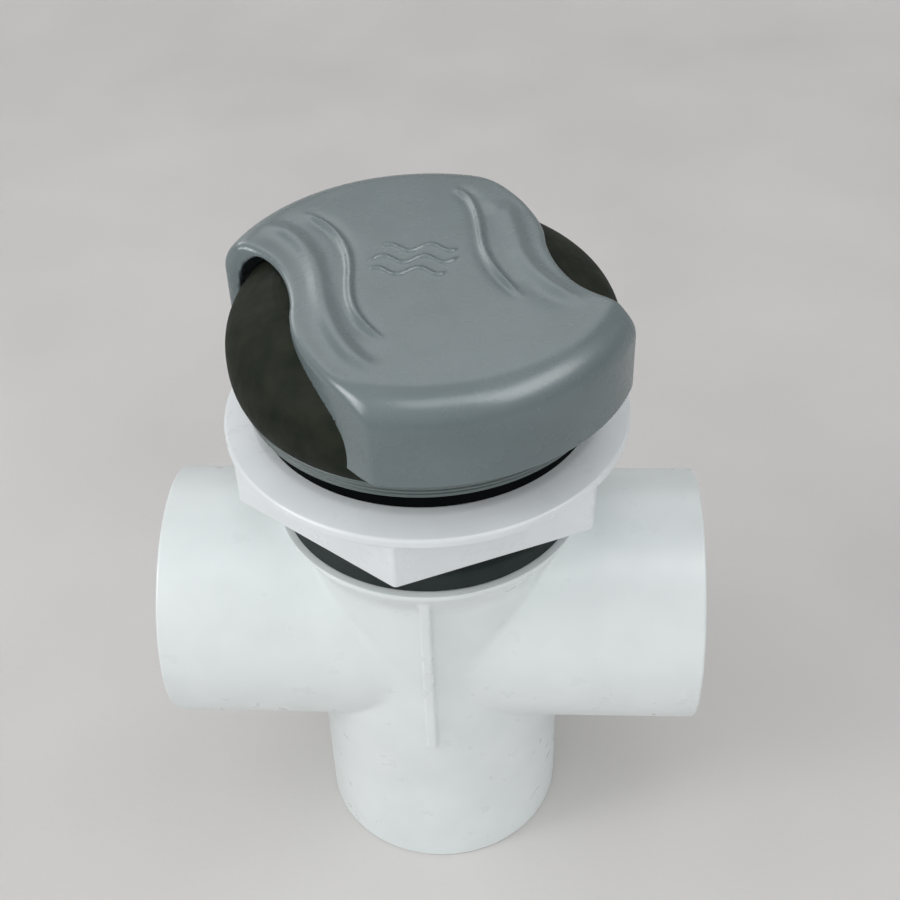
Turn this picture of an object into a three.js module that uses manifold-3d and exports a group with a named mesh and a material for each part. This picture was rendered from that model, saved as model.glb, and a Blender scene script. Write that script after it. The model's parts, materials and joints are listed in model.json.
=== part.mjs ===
// Two-inch three-port diverter valve for a spa, top access, rotary gate.
// Millimetres, +Z up along the stem. The origin is the centre of the bottom socket's end face,
// +X runs along the two side sockets and +Y points to the back of the valve.
import * as THREE from "three";
import { mergeVertices } from "three/addons/utils/BufferGeometryUtils.js";
import Module from "manifold-3d";

const wasm = await Module();
wasm.setup();

// ---------------------------------------------------------------- driving dimensions
const GAP = 0.3; // clearance between neighbouring pieces

// pipe sockets, for 2 inch pipe of 60.3 outer diameter
const SOCKET_OUTER_R = 35;
const SOCKET_BORE_R = 30.25;
const SOCKET_DEPTH = 38;
const RUN_HALF = 72.5; // stem axis to the end of a side socket
const RUN_Z = 79.5; // height of the side sockets' axis
const SIDE_PORT_R = 24;
const FLOOR_PORT_R = 26;

// valve chamber and neck
const CHAMBER_OUTER_R = 36.2;
const CHAMBER_R = 30;
const CHAMBER_FLOOR_Z = 42;
const TAPER_LOW_Z = 28; // the column widens to the chamber between these levels
const TAPER_HIGH_Z = 58;
const CONE_Z = 108.5; // foot of the cone under the shoulder
const SHOULDER_R = 41;
const SHOULDER_Z = 116.8; // lower edge of the shoulder's rim
const SEAT_Z = 118; // top of the shoulder, where the gasket lies
const NECK_R = 35.1;
const NECK_BORE_R = 31.2;
const NECK_STEP_Z = 112;
const NECK_TOP_Z = 149.1;
const RIB_HALF_WIDTH = 1.4;
const RIB_R = 39.6;
const RIB_BOTTOM_Z = 57;
const RIB_TOP_Z = 113.8;

// gasket and mounting nut
const GASKET_R = 39.2;
const GASKET_THICK = 5;
const GASKET_Z = SEAT_Z + GAP;
const NUT_Z = 131.8;
const NUT_CORNER_R = 51.6;
const NUT_TURN = THREE.MathUtils.degToRad(-96.2); // direction of one hexagon corner
const NUT_BORE_R = 35.5;
const TRIM_R = 51.9;
const TRIM_Z = 145.4; // underside of the round trim flange
const TRIM_EDGE_Z = 147.7; // height of its top face at the rim
const TRIM_CHAMFER = 0.8; // at the upper corner of the rim
const TRIM_SLOPE_R = 44.5; // its top slopes down from here to the rim
const TRIM_TOP_Z = 149.3;

// bonnet and its seals
const SEAL_R = 42.6;
const SEAL_Z = NECK_TOP_Z + 0.5;
const SEAL_TOP_Z = 154.8;
const BONNET_Z = SEAL_TOP_Z + GAP;
const BONNET_TOP_Z = 160;
const BONNET_LOW_R = 45.2;
const BONNET_HIGH_R = 47;
const BONNET_GROOVE = 0.5;
const PLUG_R = 30.8;
const PLUG_WALL_R = 26.6;
const PLUG_Z = 124;
const O_RING_GROOVE_R = 29.2;
const O_RING_GROOVE_HALF = 1.2;
const O_RING_Z = 128.5;
const O_RING_THICK_R = 0.75; // radius of the cord that every O-ring is made of
const O_RING_SLACK = 0.2; // clearance at the floor of its groove
const BOSS_R = 13;
const BOSS_Z = 119;

// stem, its seals, washers and retaining ring
const STEM_R = 8;
const STEM_BORE_R = 8.3;
const STEM_BOTTOM_Z = 96;
const STEM_TOP_Z = 177.6;
const STEM_COLLAR_R = 12;
const STEM_COLLAR_Z = 114;
const STEM_COLLAR_TOP_Z = 117.2;
const HEX_DRIVE_R = 7.6; // corner radius of the hexagonal drives at both ends of the stem
const STEM_RING_ZS = [129, 140];
const STEM_GROOVE_R = 6.3;
const STEM_GROOVE_HALF = 1.3;
const CIRCLIP_Z = 161.6;
const CIRCLIP_THICK = 1;
const CIRCLIP_GROOVE_R = 7;
const CIRCLIP_R = 10.6;
const CIRCLIP_SLOT = 7;
const LOWER_WASHER_R = 12.5;
const UPPER_WASHER_R = 11.5;
const PIN_R = 1.5;
const PIN_Z = 102;

// rotor
const ROTOR_R = 29.6;
const GATE_INNER_R = 26.2;
const GATE_HALF_ANGLE = THREE.MathUtils.degToRad(62);
const GATE_BOTTOM_Z = 46.2;
const DISC_Z = 107.6;
const DISC_TOP_Z = 111.4;
const HUB_R = 12;
const WEAR_RING_Z = CHAMBER_FLOOR_Z + GAP;
const GATE_SEAL_R = 29.8;
const GATE_SEAL_FLOOR_R = 28.4;
const GATE_SEAL_HALF_ANGLE = THREE.MathUtils.degToRad(59.5);
const GATE_SEAL_WINDOW_ANGLE = THREE.MathUtils.degToRad(55);
const GATE_SEAL_HALF_HEIGHT = 28;
const GATE_SEAL_WINDOW_HEIGHT = 25.2;

// dark handle base, a flattened dome
const BASE_Z = BONNET_TOP_Z + GAP;
const BASE_R = 48.7; // widest radius
const BASE_WIDEST_Z = 168;
const BASE_CROWN = 22; // height of the full dome above its widest level
const BASE_UNDERSIDE = 20.7; // depth of the full dome below it
const BASE_POWER = 2.5; // exponent of the dome's superellipse
const BASE_TOP_Z = 185.5;
const BASE_WALL = 2.6;
const BASE_FLOOR_R = 46.3;
const BASE_HUB_R = 13;
const BASE_HUB_Z = 164;
const WEB_REACH = 38; // half length of the ribs under the roof
const WEB_THICK = 2;
const WEB_HEIGHT = 12;

// grey handle cover
const COVER_R = 52.8;
const COVER_Z = 164.6;
const COVER_TOP_Z = 188.6;
const COVER_EDGE_R = 8.5; // rounding between the side and the top
const EDGE_STEPS = 4; // facets across that rounding
const COVER_CROWN = 0.6; // rise of the top's middle above its edge
const COVER_WALL = 2.4;
const ARCH_RISE = 2.5; // extra clearance over the dome at the outer end of each cut
const ARCH_WALL = 2;
const ARCH_BOX = [20, 15, 18]; // size of the stretch that has it
const ARCH_MIDDLE = [-44, 9.5, 184];
// One cut of the cover in plan, a wave of two curves from the front rim to the left rim.
const CUT_START = [-8.7, -52.1];
const CUT_MIDDLE = [-29.9, -15];
const CUT_END = [-51.3, 12.6];
const CUT_BENDS = [
  [-22.5, -40.5],
  [-29.5, -26],
  [-31.2, -3],
  [-37.5, 11.5],
];
const CUT_STEPS = 6; // straight steps in each of the two curves

// screw that holds the handle on the stem
const SCREW_R = 2.2;
const SCREW_LENGTH = 14;
const SCREW_HEAD_R = 4.6;
const SCREW_HEAD_TOP_R = 3.2;
const SCREW_HEAD_RIM = 1.1;
const SCREW_HEAD_HEIGHT = 1.8;
const WASHER_R = 6.5;
const WASHER_THICK = 1;
const POCKET_R = 8;
const POCKET_Z = 181.8;
const INSERT_R = 3.6;
const INSERT_LENGTH = 10;

const FINE = 40; // facets round the large pieces
const COARSE = 20; // facets round the small ones

// ---------------------------------------------------------------- solids
// A closed geometry as a manifold solid: shared vertices merged, collapsed faces dropped.
function solid(geometry) {
  const bare = geometry.clone();
  bare.deleteAttribute("normal");
  bare.deleteAttribute("uv");
  const merged = mergeVertices(bare, 1e-4);
  const index = merged.index.array;
  const triVerts = [];
  for (let i = 0; i < index.length; i += 3) {
    const [a, b, c] = index.slice(i, i + 3);
    if (a !== b && b !== c && a !== c) triVerts.push(a, b, c);
  }
  return new wasm.Manifold(
    new wasm.Mesh({
      numProp: 3,
      vertProperties: merged.attributes.position.array,
      triVerts: new Uint32Array(triVerts),
    }),
  );
}

function geometryOf(made) {
  const { vertProperties, triVerts } = made.getMesh();
  const geometry = new THREE.BufferGeometry();
  geometry.setAttribute("position", new THREE.BufferAttribute(vertProperties, 3));
  geometry.setIndex(new THREE.BufferAttribute(triVerts, 1));
  const flat = geometry.toNonIndexed();
  flat.computeVertexNormals();
  return flat;
}

// A profile of [radius, height] points turned round Z. Points run up the outside and down the inside.
function turned(points, facets = FINE) {
  const profile = points.map(([r, z]) => new THREE.Vector2(r, z));
  if (points[0][0] > 0) profile.push(profile[0].clone());
  return solid(new THREE.LatheGeometry(profile, facets).rotateX(Math.PI / 2));
}

function disc(r, low, high, facets = FINE) {
  return turned([[0, low], [r, low], [r, high], [0, high]], facets);
}

function ring(inner, outer, low, high, facets = FINE) {
  return turned([[outer, low], [outer, high], [inner, high], [inner, low]], facets);
}

// A round bar along X at height z.
function barX(r, x0, x1, z, facets = FINE) {
  const bar = new THREE.CylinderGeometry(r, r, x1 - x0, facets);
  return solid(bar.rotateZ(Math.PI / 2).translate((x0 + x1) / 2, 0, z));
}

function block(x, y, z, cx, cy, cz) {
  return solid(new THREE.BoxGeometry(x, y, z).translate(cx, cy, cz));
}

function prism(shape, low, high) {
  const options = { depth: high - low, bevelEnabled: false, curveSegments: 10 };
  return solid(new THREE.ExtrudeGeometry(shape, options).translate(0, 0, low));
}

function hexagon(cornerR, low, high, turn = 0) {
  const shape = new THREE.Shape();
  for (let k = 0; k < 6; k++) {
    const a = turn + (k * Math.PI) / 3;
    const x = cornerR * Math.cos(a);
    const y = cornerR * Math.sin(a);
    if (k === 0) shape.moveTo(x, y);
    else shape.lineTo(x, y);
  }
  return prism(shape, low, high);
}

// A slice of a ring, centred on direction `middle` and `half` wide to each side.
function sector(inner, outer, low, high, middle, half) {
  const shape = new THREE.Shape();
  shape.absarc(0, 0, outer, middle - half, middle + half, false);
  shape.absarc(0, 0, inner, middle + half, middle - half, true);
  shape.closePath();
  const options = { depth: high - low, bevelEnabled: false, curveSegments: 10 };
  return solid(new THREE.ExtrudeGeometry(shape, options).translate(0, 0, low));
}

function oRing(middleR, z, facets = 28) {
  return solid(new THREE.TorusGeometry(middleR, O_RING_THICK_R, 6, facets).translate(0, 0, z));
}

function union(first, ...rest) {
  return rest.reduce((sum, piece) => sum.add(piece), first);
}

function cut(first, ...rest) {
  return rest.reduce((left, piece) => left.subtract(piece), first);
}

// ---------------------------------------------------------------- materials
function plastic(color, roughness) {
  return new THREE.MeshStandardMaterial({ color, roughness, metalness: 0 });
}

function metal(color) {
  return new THREE.MeshStandardMaterial({ color, roughness: 0.35, metalness: 1 });
}

const part = new THREE.Group();

function add(name, made, material) {
  const mesh = new THREE.Mesh(geometryOf(made), material);
  mesh.name = name;
  part.add(mesh);
}

// ---------------------------------------------------------------- valve body
function rib(side) {
  const shape = new THREE.Shape();
  const inside = CHAMBER_R + 4;
  shape.moveTo(inside, RIB_BOTTOM_Z - 5);
  shape.lineTo(RIB_R, RIB_BOTTOM_Z);
  shape.lineTo(RIB_R, RIB_TOP_Z);
  shape.lineTo(inside, RIB_TOP_Z);
  shape.closePath();
  const options = { depth: 2 * RIB_HALF_WIDTH, bevelEnabled: false };
  const plate = new THREE.ExtrudeGeometry(shape, options).translate(0, 0, -RIB_HALF_WIDTH);
  return solid(plate.rotateX(Math.PI / 2).rotateZ((side * Math.PI) / 2));
}

function valveBody() {
  const run = barX(SOCKET_OUTER_R, -RUN_HALF, RUN_HALF, RUN_Z);
  const shell = turned([
    [0, 0],
    [SOCKET_OUTER_R, 0],
    [SOCKET_OUTER_R, TAPER_LOW_Z],
    [CHAMBER_OUTER_R, TAPER_HIGH_Z],
    [CHAMBER_OUTER_R, CONE_Z],
    [SHOULDER_R, SHOULDER_Z],
    [SHOULDER_R, SEAT_Z],
    [NECK_R, SEAT_Z],
    [NECK_R, NECK_TOP_Z],
    [0, NECK_TOP_Z],
  ]);
  const hollow = turned([
    [0, -1],
    [SOCKET_BORE_R, -1],
    [SOCKET_BORE_R, SOCKET_DEPTH],
    [FLOOR_PORT_R, SOCKET_DEPTH],
    [FLOOR_PORT_R, CHAMBER_FLOOR_Z],
    [CHAMBER_R, CHAMBER_FLOOR_Z],
    [CHAMBER_R, NECK_STEP_Z],
    [NECK_BORE_R, NECK_STEP_Z],
    [NECK_BORE_R, NECK_TOP_Z + 1],
    [0, NECK_TOP_Z + 1],
  ]);
  const socketStop = RUN_HALF - SOCKET_DEPTH;
  return cut(
    union(run, shell, rib(1), rib(-1)),
    hollow,
    barX(SIDE_PORT_R, -RUN_HALF + 1, RUN_HALF - 1, RUN_Z),
    barX(SOCKET_BORE_R, socketStop, RUN_HALF + 1, RUN_Z),
    barX(SOCKET_BORE_R, -RUN_HALF - 1, -socketStop, RUN_Z),
  );
}

// ---------------------------------------------------------------- nut and bonnet
function mountingNut() {
  const trim = turned([
    [0, TRIM_Z],
    [TRIM_R - 0.4, TRIM_Z],
    [TRIM_R, TRIM_Z + 0.5],
    [TRIM_R, TRIM_EDGE_Z - TRIM_CHAMFER],
    [TRIM_R - TRIM_CHAMFER, TRIM_EDGE_Z],
    [TRIM_SLOPE_R, TRIM_TOP_Z],
    [0, TRIM_TOP_Z],
  ]);
  const body = union(hexagon(NUT_CORNER_R, NUT_Z, TRIM_Z + 0.5, NUT_TURN), trim);
  return cut(body, disc(NUT_BORE_R, NUT_Z - 1, TRIM_TOP_Z + 1));
}

// Side of the bonnet's flange: a taper with two fine grooves round it.
function bonnetEdge() {
  const edge = [[BONNET_LOW_R, BONNET_Z]];
  const rise = BONNET_TOP_Z - BONNET_Z;
  for (const share of [0.36, 0.7]) {
    const z = BONNET_Z + rise * share;
    const r = BONNET_LOW_R + (BONNET_HIGH_R - BONNET_LOW_R) * share;
    edge.push([r, z - 0.25], [r - BONNET_GROOVE, z], [r + 0.1, z + 0.25]);
  }
  edge.push([BONNET_HIGH_R, BONNET_TOP_Z]);
  return edge;
}

function bonnet() {
  return turned([
    [STEM_BORE_R, BOSS_Z],
    [BOSS_R, BOSS_Z],
    [BOSS_R, BONNET_Z - 3],
    [PLUG_WALL_R, BONNET_Z - 3],
    [PLUG_WALL_R, PLUG_Z],
    [PLUG_R, PLUG_Z],
    [PLUG_R, O_RING_Z - O_RING_GROOVE_HALF],
    [O_RING_GROOVE_R, O_RING_Z - O_RING_GROOVE_HALF],
    [O_RING_GROOVE_R, O_RING_Z + O_RING_GROOVE_HALF],
    [PLUG_R, O_RING_Z + O_RING_GROOVE_HALF],
    [PLUG_R, BONNET_Z],
    ...bonnetEdge(),
    [STEM_BORE_R, BONNET_TOP_Z],
  ]);
}

// ---------------------------------------------------------------- stem and rotor
function grooved(z, half, r) {
  return ring(r, STEM_R + 1, z - half, z + half, COARSE);
}

function stem() {
  const shaft = union(
    hexagon(HEX_DRIVE_R, STEM_BOTTOM_Z, STEM_COLLAR_Z + 1),
    disc(STEM_COLLAR_R, STEM_COLLAR_Z, STEM_COLLAR_TOP_Z, COARSE),
    disc(STEM_R, STEM_COLLAR_TOP_Z - 1, BASE_HUB_Z - GAP, COARSE),
    hexagon(HEX_DRIVE_R, BASE_HUB_Z - 1.5, STEM_TOP_Z),
  );
  const ringGrooves = STEM_RING_ZS.map((z) => grooved(z, STEM_GROOVE_HALF, STEM_GROOVE_R));
  return cut(
    shaft,
    ...ringGrooves,
    grooved(CIRCLIP_Z + CIRCLIP_THICK / 2, CIRCLIP_THICK / 2 + GAP, CIRCLIP_GROOVE_R),
    barX(PIN_R + GAP, -HUB_R, HUB_R, PIN_Z, COARSE / 2),
    disc(INSERT_R + GAP, STEM_TOP_Z - INSERT_LENGTH - 2, STEM_TOP_Z + 1, COARSE),
  );
}

const BACK = Math.PI / 2; // direction of the gate's middle at rest, both side ports open

function sealFrame(inner, outer, grow) {
  const angleGrow = grow / GATE_SEAL_R;
  const low = RUN_Z - GATE_SEAL_HALF_HEIGHT - grow;
  const high = RUN_Z + GATE_SEAL_HALF_HEIGHT + grow;
  const windowLow = RUN_Z - GATE_SEAL_WINDOW_HEIGHT + grow;
  const windowHigh = RUN_Z + GATE_SEAL_WINDOW_HEIGHT - grow;
  return cut(
    sector(inner, outer, low, high, BACK, GATE_SEAL_HALF_ANGLE + angleGrow),
    sector(inner - 1, outer + 1, windowLow, windowHigh, BACK, GATE_SEAL_WINDOW_ANGLE - angleGrow),
  );
}

function rotor() {
  const gate = sector(GATE_INNER_R, ROTOR_R, GATE_BOTTOM_Z, DISC_Z + 1, BACK, GATE_HALF_ANGLE);
  const whole = union(
    gate,
    ring(GATE_INNER_R, ROTOR_R, GATE_BOTTOM_Z, GATE_BOTTOM_Z + 3),
    disc(ROTOR_R, DISC_Z, DISC_TOP_Z),
    disc(HUB_R, STEM_BOTTOM_Z, STEM_COLLAR_Z - GAP, COARSE),
  );
  return cut(
    whole,
    hexagon(HEX_DRIVE_R + 0.4, STEM_BOTTOM_Z - 1, STEM_COLLAR_Z + 1),
    barX(PIN_R + GAP, -HUB_R - 1, HUB_R + 1, PIN_Z, COARSE / 2),
    sealFrame(GATE_SEAL_FLOOR_R - GAP, ROTOR_R + 1, GAP),
  );
}

function circlip() {
  const whole = ring(CIRCLIP_GROOVE_R + 0.2, CIRCLIP_R, CIRCLIP_Z, CIRCLIP_Z + CIRCLIP_THICK, COARSE);
  const slot = block(CIRCLIP_SLOT, CIRCLIP_R, 3, 0, -CIRCLIP_R / 2 - 2, CIRCLIP_Z + CIRCLIP_THICK / 2);
  return cut(whole, slot);
}

// ---------------------------------------------------------------- handle base
// Radius of the dome at height z, `inset` inside its outer face.
function domeR(z, inset = 0) {
  const rise = (z > BASE_WIDEST_Z ? BASE_CROWN : BASE_UNDERSIDE) - inset;
  const share = Math.min(1, Math.abs(z - BASE_WIDEST_Z) / rise);
  return (BASE_R - inset) * Math.pow(1 - Math.pow(share, BASE_POWER), 1 / BASE_POWER);
}

function domeLevels(low, high, steps) {
  const levels = [];
  for (let i = 0; i <= steps; i++) {
    const t = Math.sin((i / steps) * (Math.PI / 2));
    levels.push(low + (high - low) * t);
  }
  return levels;
}

function domeOutside(inset, low, high) {
  const side = domeLevels(BASE_WIDEST_Z, high, 5).slice(1);
  return [low, (low + BASE_WIDEST_Z) / 2, BASE_WIDEST_Z, ...side].map((z) => [domeR(z, inset), z]);
}

function handleBase() {
  const outside = turned([[0, BASE_Z], ...domeOutside(0, BASE_Z, BASE_TOP_Z), [0, BASE_TOP_Z]]);
  const roof = BASE_TOP_Z - BASE_WALL - 1;
  const inside = turned([
    [0, BASE_Z - 1],
    [BASE_FLOOR_R - BASE_WALL, BASE_Z - 1],
    ...domeOutside(BASE_WALL, BASE_Z + 1, roof),
    [0, roof],
  ]);
  const hub = disc(BASE_HUB_R, BASE_HUB_Z, roof + 1, COARSE);
  const webMiddle = roof + 0.5 - WEB_HEIGHT / 2;
  const webs = [0, 1, 2].map((k) => {
    const web = new THREE.BoxGeometry(2 * WEB_REACH, WEB_THICK, WEB_HEIGHT);
    return solid(web.translate(0, 0, webMiddle).rotateZ((k * Math.PI) / 3));
  });
  return cut(
    union(cut(outside, inside), hub, ...webs),
    hexagon(HEX_DRIVE_R + 0.4, BASE_HUB_Z - 1, STEM_TOP_Z + GAP),
    disc(SCREW_R + GAP, STEM_TOP_Z, POCKET_Z + 1, COARSE),
    disc(POCKET_R, POCKET_Z, BASE_TOP_Z + 1, COARSE),
  );
}

// ---------------------------------------------------------------- handle cover
// Rounded and slightly crowned drum, `inset` inside the cover's outer face.
function coverDrum(inset, low) {
  const r = COVER_R - inset;
  const edge = COVER_EDGE_R - inset;
  const edgeTop = COVER_TOP_Z - COVER_CROWN - inset;
  const points = [[0, low], [r, low]];
  for (let i = 0; i <= EDGE_STEPS; i++) {
    const a = (i / EDGE_STEPS) * (Math.PI / 2);
    points.push([r - edge * (1 - Math.cos(a)), edgeTop - edge * (1 - Math.sin(a))]);
  }
  points.push([0.5 * (r - edge), edgeTop + 0.75 * COVER_CROWN], [0, edgeTop + COVER_CROWN]);
  return turned(points);
}

// The part of the plan that one cut takes away, its wave moved `inset` towards the stem.
function cutAway(side, inset, low, high) {
  const wave = new THREE.CurvePath();
  const [start, middle, end, ...bends] = [CUT_START, CUT_MIDDLE, CUT_END, ...CUT_BENDS].map(
    ([x, y]) => new THREE.Vector2(x, y),
  );
  wave.add(new THREE.CubicBezierCurve(start, bends[0], bends[1], middle));
  wave.add(new THREE.CubicBezierCurve(middle, bends[2], bends[3], end));
  const points = [];
  for (const curve of wave.curves) {
    for (let i = 0; i <= CUT_STEPS; i++) {
      const t = curve.getTangent(i / CUT_STEPS);
      const p = curve.getPoint(i / CUT_STEPS);
      points.push(new THREE.Vector2(p.x + t.y * inset, p.y - t.x * inset));
    }
  }
  const far = 2 * COVER_R; // corners well outside the cover close the shape
  const first = points[0];
  const last = points[points.length - 1];
  const shape = new THREE.Shape([
    new THREE.Vector2(first.x + far, first.y - far),
    ...points,
    new THREE.Vector2(last.x - far, last.y),
    new THREE.Vector2(-far, -far),
  ]);
  return prism(shape, low, high).rotate([0, 0, side * 180]);
}

// The dome's form grown by `grow`, as the space that the cover leaves for it.
function domeSpace(grow) {
  const low = COVER_Z - 2;
  const top = BASE_TOP_Z + grow;
  return turned([
    [0, low],
    [domeR(low) + grow, low],
    ...domeOutside(-grow, low + 1, top),
    [0, top],
  ]);
}

// Opening between the dome and the frame at the outer end of one cut.
function arch(side) {
  const stretch = block(...ARCH_BOX, ...ARCH_MIDDLE);
  const under = domeSpace(GAP + ARCH_RISE).intersect(coverDrum(ARCH_WALL, COVER_Z));
  return under.intersect(stretch).rotate([0, 0, side * 180]);
}

function handleCover() {
  const low = COVER_Z - 2;
  const high = COVER_TOP_Z + 5;
  const body = cut(coverDrum(0, COVER_Z), cutAway(0, 0, low, high), cutAway(1, 0, low, high));
  const hollow = cut(
    coverDrum(COVER_WALL, COVER_Z - 1),
    cutAway(0, COVER_WALL, low, high),
    cutAway(1, COVER_WALL, low, high),
  );
  return cut(body, hollow, domeSpace(GAP), arch(0), arch(1));
}

// ---------------------------------------------------------------- small pieces
function handleScrew() {
  const foot = POCKET_Z + WASHER_THICK + 2 * GAP;
  const top = foot + SCREW_HEAD_HEIGHT;
  const head = turned([
    [0, foot],
    [SCREW_HEAD_R, foot],
    [SCREW_HEAD_R, foot + SCREW_HEAD_RIM],
    [SCREW_HEAD_TOP_R, top],
    [0, top],
  ], COARSE);
  return union(head, disc(SCREW_R - 0.2, foot - SCREW_LENGTH, foot + 0.5, COARSE / 2));
}

function washer(outer, low, high) {
  return ring(STEM_BORE_R, outer, low, high, COARSE);
}

function screwWasher() {
  const low = POCKET_Z + GAP;
  return ring(SCREW_R + GAP, WASHER_R, low, low + WASHER_THICK, COARSE);
}

// ---------------------------------------------------------------- the assembly
const WHITE_PVC = plastic(0xeef1f1, 0.35);
const GREY_ABS = plastic(0x7d8c92, 0.38);
const CHARCOAL = plastic(0x33352f, 0.6);
const BLACK_RUBBER = plastic(0x1c1d1f, 0.75);
const ACETAL = plastic(0xe6e2d6, 0.45);
const STEEL = metal(0xc4c7ca);
const BRASS = metal(0xc9a24f);

const gasketTop = GASKET_Z + GASKET_THICK;
const plugRingR = O_RING_GROOVE_R + O_RING_SLACK + O_RING_THICK_R;
const stemRingR = STEM_GROOVE_R + O_RING_SLACK + O_RING_THICK_R;

add("valve_body", valveBody(), WHITE_PVC);
add("body_gasket", ring(NECK_R + 0.6, GASKET_R, GASKET_Z, gasketTop), BLACK_RUBBER);
add("mounting_nut", mountingNut(), WHITE_PVC);
add("bonnet", bonnet(), GREY_ABS);
add("bonnet_seal", ring(PLUG_R + 0.8, SEAL_R, SEAL_Z, SEAL_TOP_Z), BLACK_RUBBER);
add("plug_o_ring", oRing(plugRingR, O_RING_Z), BLACK_RUBBER);
add("stem", stem(), ACETAL);
add("stem_o_ring_lower", oRing(stemRingR, STEM_RING_ZS[0], COARSE), BLACK_RUBBER);
add("stem_o_ring_upper", oRing(stemRingR, STEM_RING_ZS[1], COARSE), BLACK_RUBBER);
add("lower_thrust_washer", washer(LOWER_WASHER_R, STEM_COLLAR_TOP_Z + GAP, BOSS_Z - GAP), ACETAL);
add("upper_thrust_washer", washer(UPPER_WASHER_R, BONNET_TOP_Z + GAP, CIRCLIP_Z - GAP), ACETAL);
add("retaining_ring", circlip(), STEEL);
add("rotor", rotor(), WHITE_PVC);
add("rotor_pin", barX(PIN_R, -HUB_R + 0.5, HUB_R - 0.5, PIN_Z, COARSE / 2), STEEL);
add("gate_seal", sealFrame(GATE_SEAL_FLOOR_R, GATE_SEAL_R, 0), BLACK_RUBBER);
add("wear_ring", ring(GATE_INNER_R, ROTOR_R, WEAR_RING_Z, GATE_BOTTOM_Z - GAP), ACETAL);
add("handle_base", handleBase(), CHARCOAL);
add("screw_insert", ring(SCREW_R, INSERT_R, STEM_TOP_Z - INSERT_LENGTH, STEM_TOP_Z, COARSE), BRASS);
add("screw_washer", screwWasher(), STEEL);
add("handle_screw", handleScrew(), STEEL);
add("handle_cover", handleCover(), GREY_ABS);

export default part;
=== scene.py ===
"""Two-inch three-port diverter valve with a domed handle: looks built round the CAD model.

Helpers and shapes are in millimetres in the model's own frame. Each mesh is scaled to metres
when it is made.
"""

import json
import math

import bpy
import numpy as np
from mathutils import Matrix, Vector


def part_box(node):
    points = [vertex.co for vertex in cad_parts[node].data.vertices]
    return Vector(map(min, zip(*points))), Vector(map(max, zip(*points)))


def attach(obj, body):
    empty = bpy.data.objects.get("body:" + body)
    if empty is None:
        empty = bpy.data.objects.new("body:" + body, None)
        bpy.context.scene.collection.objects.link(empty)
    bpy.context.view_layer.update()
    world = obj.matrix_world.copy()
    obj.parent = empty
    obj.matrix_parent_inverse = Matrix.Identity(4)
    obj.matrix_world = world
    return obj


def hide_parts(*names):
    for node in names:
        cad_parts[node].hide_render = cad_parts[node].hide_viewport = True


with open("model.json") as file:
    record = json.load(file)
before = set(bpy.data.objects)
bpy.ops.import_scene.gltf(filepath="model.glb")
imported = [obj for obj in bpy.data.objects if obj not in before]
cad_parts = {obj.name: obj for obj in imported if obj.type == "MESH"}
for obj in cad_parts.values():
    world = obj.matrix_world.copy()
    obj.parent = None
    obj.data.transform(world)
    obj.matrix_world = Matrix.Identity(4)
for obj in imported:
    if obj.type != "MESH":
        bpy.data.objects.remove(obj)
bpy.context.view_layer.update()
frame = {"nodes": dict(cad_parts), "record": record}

MM = 0.001
TURN = 2 * math.pi


def node_box(node):
    """Lowest and highest corners of a CAD node, in millimetres."""
    low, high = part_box(node)
    return np.array(low) / MM, np.array(high) / MM


# ---------------------------------------------------------------- driving dimensions
_, BODY_HIGH = node_box("valve_body")
COVER_LOW, COVER_HIGH = node_box("handle_cover")
BASE_LOW, BASE_HIGH = node_box("handle_base")
NUT_LOW, NUT_HIGH = node_box("mounting_nut")
BONNET_LOW, BONNET_HIGH = node_box("bonnet")
SEAL_LOW, SEAL_HIGH = node_box("bonnet_seal")
GASKET_LOW, GASKET_HIGH = node_box("body_gasket")
WEAR_LOW, WEAR_HIGH = node_box("wear_ring")
ROTOR_LOW, ROTOR_HIGH = node_box("rotor")

RUN_HALF = BODY_HIGH[0]  # half length over the side sockets
NECK_TOP = BODY_HIGH[2]
SOCKET_R = 35.0
BORE_R = 30.25
SOCKET_DEPTH = 38.0
RUN_Z = 79.5
SIDE_PORT_R = 24.0
FLOOR_PORT_R = 26.0
CHAMBER_FLOOR = 42.0
CHAMBER_OUTER_R = 36.2
CHAMBER_R = 30.0
TAPER_LOW, TAPER_HIGH = 28.0, 58.0
CONE_Z = 108.5
SHOULDER_R = 41.0
SHOULDER_Z = 116.8
SEAT_Z = 118.0
NECK_R = 35.1
NECK_BORE_R = 31.2
NECK_STEP_Z = 112.0
RIB_HALF = 1.4
RIB_R = 39.6
RIB_BOTTOM = 57.0
RIB_TOP = 113.8
RIB_END_R = 34.0  # the lower end of a rib slopes up from here
RIB_END_RISE = 5.0
RIB_END_SLOPE = 0.9
THREAD_PITCH = 3.2
THREAD_DEPTH = 0.8
THREAD_STEP = 0.4  # height between two rings of a thread
THREAD_FADE = 2.5  # height over which a thread runs out

AROUND = 144  # points round a turned shape
ROUNDING_STEPS = 4  # pieces of an arc at a rounded corner


# ---------------------------------------------------------------- number helpers
def smooth(low, high, value):
    """0 below low, 1 above high, with an even slope change between."""
    t = np.clip((value - low) / (high - low), 0.0, 1.0)
    return t * t * (3 - 2 * t)


def soft_min(a, b, blend):
    h = np.maximum(blend - np.abs(a - b), 0.0) / blend
    return np.minimum(a, b) - h * h * blend / 4


def soft_max(a, b, blend):
    return -soft_min(-a, -b, blend)


def saw(phase, sharpness=0.06):
    """A rounded triangle wave from 0 to 1, one tooth for each whole step of phase."""
    third = sharpness * np.cos(3 * TURN * phase)
    return 0.5 - 0.5 * np.cos(TURN * phase) + third - sharpness


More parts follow.
